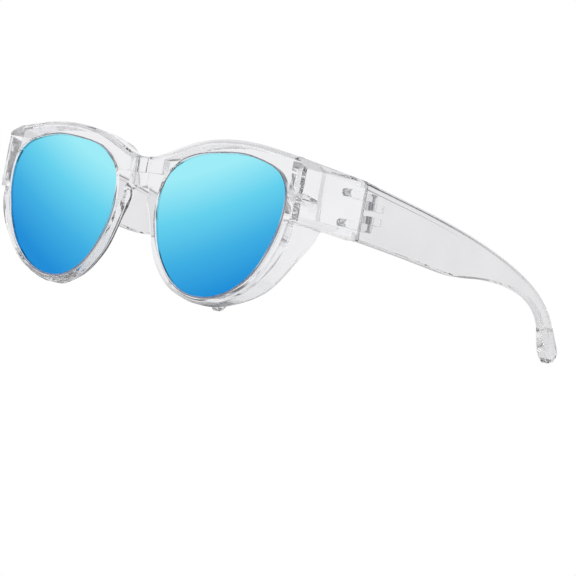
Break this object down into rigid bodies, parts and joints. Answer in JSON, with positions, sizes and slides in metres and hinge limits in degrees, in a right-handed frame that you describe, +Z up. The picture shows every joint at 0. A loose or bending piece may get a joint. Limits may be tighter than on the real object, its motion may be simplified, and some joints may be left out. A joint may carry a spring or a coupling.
{
  "type": "fitover sunglasses",
  "caption": "Fitover sunglasses with a clear plastic front, blue mirror lenses, deep side shields and wide folding temples that end in thick tips.",
  "frame": {"origin": "on the table under the middle of the open glasses' bounding box", "axes": "+Z up, +X to the wearer's left, +Y from the front towards the temple tips; the glasses rest on their chins and temple tips"},
  "size_m": [0.1754, 0.1612, 0.0604],
  "materials": {
    "clear_plastic": "clear, polished",
    "mirror_lens": "blue mirror coating",
    "screw_steel": "plain"
  },
  "bodies": {
    "front": {"front_frame": "clear_plastic", "lens_left": "mirror_lens", "lens_right": "mirror_lens", "hinge_screw_left_upper": "screw_steel", "hinge_screw_left_lower": "screw_steel", "hinge_screw_right_upper": "screw_steel", "hinge_screw_right_lower": "screw_steel"},
    "temple_left": {"temple_left": "clear_plastic"},
    "temple_right": {"temple_right": "clear_plastic"}
  },
  "joints": [
    {"name": "temple_left_fold", "type": "hinge", "parent": "front", "child": "temple_left", "pos_m": [0.07166, -0.03583, 0.02751], "axis": [0, 0.0356, 0.9994], "range_deg": [0, 98]},
    {"name": "temple_right_fold", "type": "hinge", "parent": "front", "child": "temple_right", "pos_m": [-0.07166, -0.03583, 0.02751], "axis": [0, -0.0356, -0.9994], "range_deg": [0, 92]}
  ]
}
